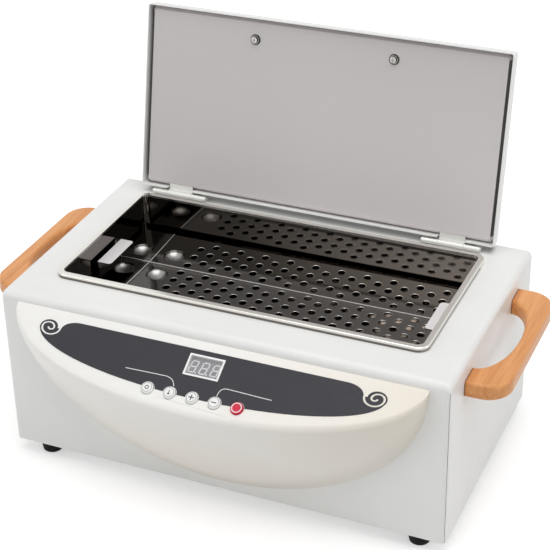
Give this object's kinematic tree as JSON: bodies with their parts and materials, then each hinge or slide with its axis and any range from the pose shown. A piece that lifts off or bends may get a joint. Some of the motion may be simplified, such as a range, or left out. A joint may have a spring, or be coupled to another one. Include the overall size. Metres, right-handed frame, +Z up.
{
  "type": "nail tool sterilizer",
  "caption": "Bench-top hot-air sterilizer for nail tools: white casing, steel tank with perforated tray, hinged lid, wooden handles and a half-bowl control panel.",
  "frame": {"origin": "middle of the bottom of the outer box, on the table, with the lid open", "axes": "+X to the user's right along the casing, +Y to the rear, +Z up"},
  "size_m": [0.428, 0.313, 0.3124],
  "materials": {
    "white_enamel": "satin white powder coat",
    "polished_steel": "mirror polished stainless steel",
    "satin_steel": "satin stainless steel",
    "zinc_steel": "zinc plated steel",
    "white_plastic": "semi-gloss moulded ABS",
    "dark_print": "dark grey printed film",
    "clear_window": "smoked clear acrylic",
    "display_black": "black display block",
    "white_button": "gloss white",
    "red_button": "gloss red",
    "black_rubber": "matt black rubber",
    "beech": "clear lacquered beech",
    "mineral_wool": "pressed mineral fibre",
    "mica": "mica sheet",
    "circuit_board": "green solder mask",
    "black_nylon": "moulded black nylon",
    "iron_core": "varnished iron laminations and winding",
    "blue_relay": "moulded relay case"
  },
  "bodies": {
    "housing": {"casing_cover": "white_enamel", "base_plate": "zinc_steel", "foot_screws": "zinc_steel", "base_screws": "zinc_steel", "tank_brackets": "zinc_steel", "press_plate": "zinc_steel", "heater_studs": "zinc_steel", "bezel_screws": "zinc_steel", "board_screws": "zinc_steel", "side_handle_screws": "zinc_steel", "hinge_screws": "zinc_steel", "tank": "polished_steel", "tray": "polished_steel", "temperature_probe": "satin_steel", "thermal_cutout": "satin_steel", "left_hinge_base": "satin_steel", "right_hinge_base": "satin_steel", "left_hinge_pin": "satin_steel", "right_hinge_pin": "satin_steel", "front_bezel": "white_plastic", "display_frame": "white_plastic", "panel_film": "dark_print", "display_window": "clear_window", "display_module": "display_black", "front_left_foot": "black_rubber", "front_right_foot": "black_rubber", "back_left_foot": "black_rubber", "back_right_foot": "black_rubber", "left_handle": "beech", "right_handle": "beech", "side_insulation": "mineral_wool", "bottom_insulation": "mineral_wool", "heater_element": "mica", "control_board": "circuit_board", "power_board": "circuit_board", "button_switches": "black_nylon", "board_standoffs": "black_nylon", "cord_gland": "black_nylon", "gland_nut": "black_nylon", "transformer": "iron_core", "relay": "blue_relay"},
    "lid": {"lid_shell": "white_enamel", "lid_liner": "satin_steel", "lid_insulation": "mineral_wool", "lid_handle": "beech", "lid_handle_screws": "zinc_steel", "lid_cup_washers": "zinc_steel", "left_hinge_flap": "satin_steel", "right_hinge_flap": "satin_steel"},
    "select_button": {"select_button": "white_button"},
    "warmth_button": {"warmth_button": "white_button"},
    "plus_button": {"plus_button": "white_button"},
    "minus_button": {"minus_button": "white_button"},
    "red_button": {"red_button": "red_button"}
  },
  "joints": [
    {"name": "lid_hinge", "type": "hinge", "parent": "housing", "child": "lid", "pos_m": [0, 0.08431, 0.1557], "axis": [1, 0, 0], "range_deg": [0, 101.7]},
    {"name": "select_button_press", "type": "slide", "parent": "housing", "child": "select_button", "axis": [0, 0.5, -0.866], "range_m": [0, 0.0008], "stiffness_N_per_m": 400, "springref_m": -0.0008},
    {"name": "warmth_button_press", "type": "slide", "parent": "housing", "child": "warmth_button", "axis": [0, 0.5, -0.866], "range_m": [0, 0.0008], "stiffness_N_per_m": 400, "springref_m": -0.0008},
    {"name": "plus_button_press", "type": "slide", "parent": "housing", "child": "plus_button", "axis": [0, 0.5, -0.866], "range_m": [0, 0.0008], "stiffness_N_per_m": 400, "springref_m": -0.0008},
    {"name": "minus_button_press", "type": "slide", "parent": "housing", "child": "minus_button", "axis": [0, 0.5, -0.866], "range_m": [0, 0.0008], "stiffness_N_per_m": 400, "springref_m": -0.0008},
    {"name": "red_button_press", "type": "slide", "parent": "housing", "child": "red_button", "axis": [0, 0.5, -0.866], "range_m": [0, 0.0008], "stiffness_N_per_m": 400, "springref_m": -0.0008}
  ]
}
